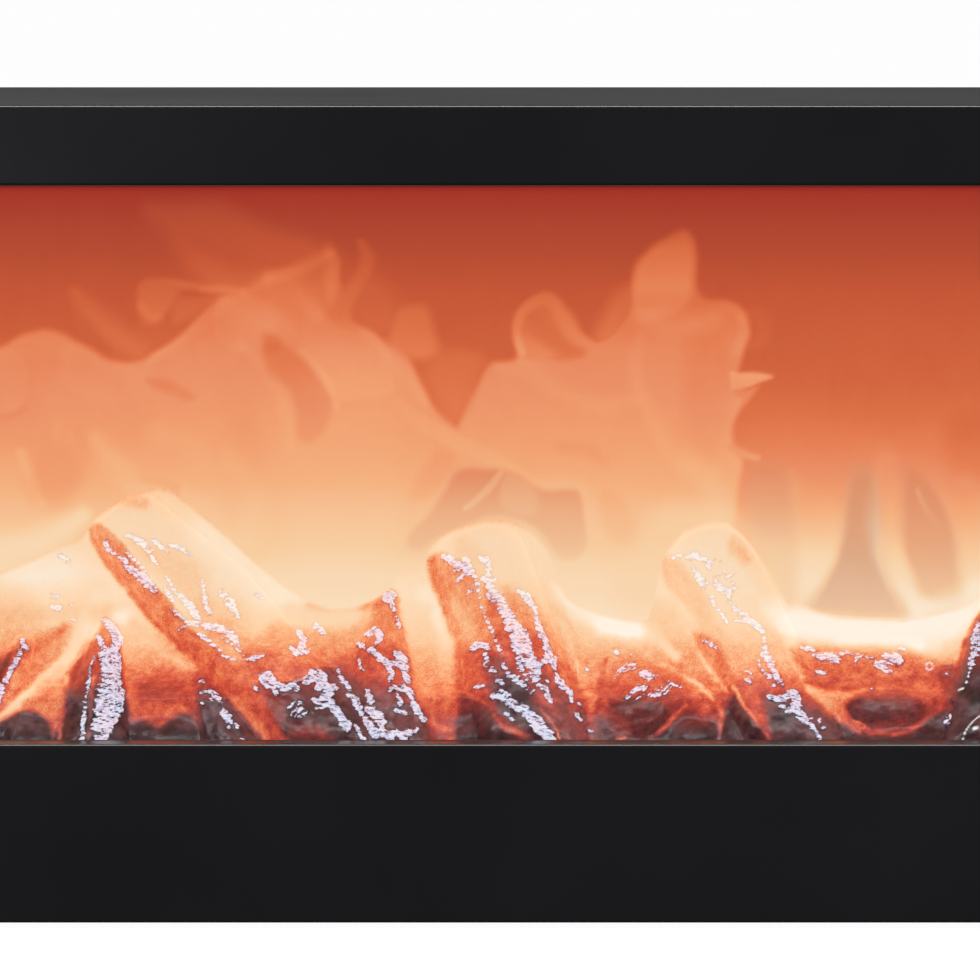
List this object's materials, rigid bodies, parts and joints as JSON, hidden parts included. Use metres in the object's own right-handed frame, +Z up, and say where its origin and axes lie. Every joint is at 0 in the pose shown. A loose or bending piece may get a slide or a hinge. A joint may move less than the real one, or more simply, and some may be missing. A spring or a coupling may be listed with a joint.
{
  "type": "electric fireplace",
  "caption": "Table-top flame-effect fireplace: wide black case, clear window on a formed log bed and lit flame print, with a motor-turned flicker spindle, cells and switch in the base.",
  "frame": {"origin": "on the surface the feet stand on, under the centre of the case", "axes": "+X to the right seen from the front, +Y to the rear (the window faces -Y), +Z up"},
  "size_m": [0.35, 0.105, 0.2015],
  "materials": {
    "black_plastic": "black, smooth, satin gloss",
    "switch_plastic": "black, ribbed",
    "rubber": "matt black",
    "black_foam": "closed-cell foam",
    "clear_acrylic": "clear, polished",
    "steel": "bright zinc",
    "bright_steel": "bright nickel",
    "black_steel": "black oxide",
    "painted_steel": "matt black",
    "zinc_plate": "folded zinc-coated sheet",
    "log_resin": "translucent, sprayed orange and charcoal, with ash-white dry-brushed ridges, lit from below",
    "flame_print": "printed film, lit from behind",
    "opal_acrylic": "white, translucent",
    "grey_plastic": "dark grey",
    "circuit_board": "green solder mask",
    "led_amber": "clear amber lens, emissive",
    "black_component": "moulded components",
    "reflector": "silvered sheet",
    "brass": "turned",
    "cell_jacket": "plain printed jacket, bright ends",
    "red_wire": "insulated",
    "black_wire": "insulated",
    "foil_flag": "mirror foil on thin sheet",
    "white_acetal": "moulded"
  },
  "bodies": {
    "case": {"front_housing": "black_plastic", "rubber_feet": "rubber", "pane_gasket": "black_foam", "window_pane": "clear_acrylic", "pane_retainer": "painted_steel", "pane_retainer_screws": "steel", "firebox_floor": "painted_steel", "floor_screws": "steel", "firebox_left_liner": "painted_steel", "firebox_right_liner": "painted_steel", "firebox_top_liner": "painted_steel", "wire_grommets": "rubber", "log_bed": "log_resin", "flame_screen": "flame_print", "diffuser_panel": "opal_acrylic", "screen_left_channel": "grey_plastic", "screen_right_channel": "grey_plastic", "screen_top_channel": "grey_plastic", "log_led_board": "circuit_board", "log_leds": "led_amber", "flame_led_board": "circuit_board", "flame_leds": "led_amber", "led_board_screws": "steel", "rear_reflector": "reflector", "spindle_left_bracket": "zinc_plate", "spindle_right_bracket": "zinc_plate", "bracket_screws": "steel", "spindle_left_bush": "brass", "spindle_right_bush": "brass", "motor_can": "steel", "motor_gearbox": "brass", "motor_screws": "steel", "battery_holder": "black_plastic", "battery_positive_contact": "steel", "battery_negative_contact": "steel", "battery_spring": "steel", "battery_cells": "cell_jacket", "rear_cover": "black_plastic", "rear_cover_screws": "black_steel", "control_board": "circuit_board", "control_board_screws": "steel", "control_board_parts": "black_component", "mode_switch_body": "steel", "power_socket": "bright_steel", "battery_positive_lead": "red_wire", "battery_negative_lead": "black_wire", "motor_leads": "black_wire", "log_led_leads": "red_wire"},
    "spindle": {"spindle_shaft": "steel", "shaft_clips": "steel", "spindle_flags": "foil_flag", "spindle_gear": "white_acetal"},
    "pinion": {"motor_shaft": "steel", "motor_pinion": "white_acetal"},
    "slider": {"mode_switch_slider": "switch_plastic"},
    "battery_door": {"battery_door": "black_plastic", "battery_door_pad": "black_foam"}
  },
  "joints": [
    {"name": "spindle_spin", "type": "hinge", "parent": "case", "child": "spindle", "pos_m": [0, 0.027, 0.064], "axis": [1, 0, 0], "continuous": true},
    {"name": "pinion_spin", "type": "hinge", "parent": "case", "child": "pinion", "pos_m": [0.147, 0.027, 0.08652], "axis": [1, 0, 0], "continuous": true},
    {"name": "mode_slide", "type": "slide", "parent": "case", "child": "slider", "axis": [1, 0, 0], "range_m": [-0.0025, 0.0025]},
    {"name": "battery_door_hinge", "type": "hinge", "parent": "case", "child": "battery_door", "pos_m": [0, 0.0509, 0.0086], "axis": [-1, 0, 0], "range_deg": [0, 95]}
  ],
  "couplings": [
    {"joint": "pinion_spin", "follows": "spindle_spin", "ratio": -2.5}
  ]
}
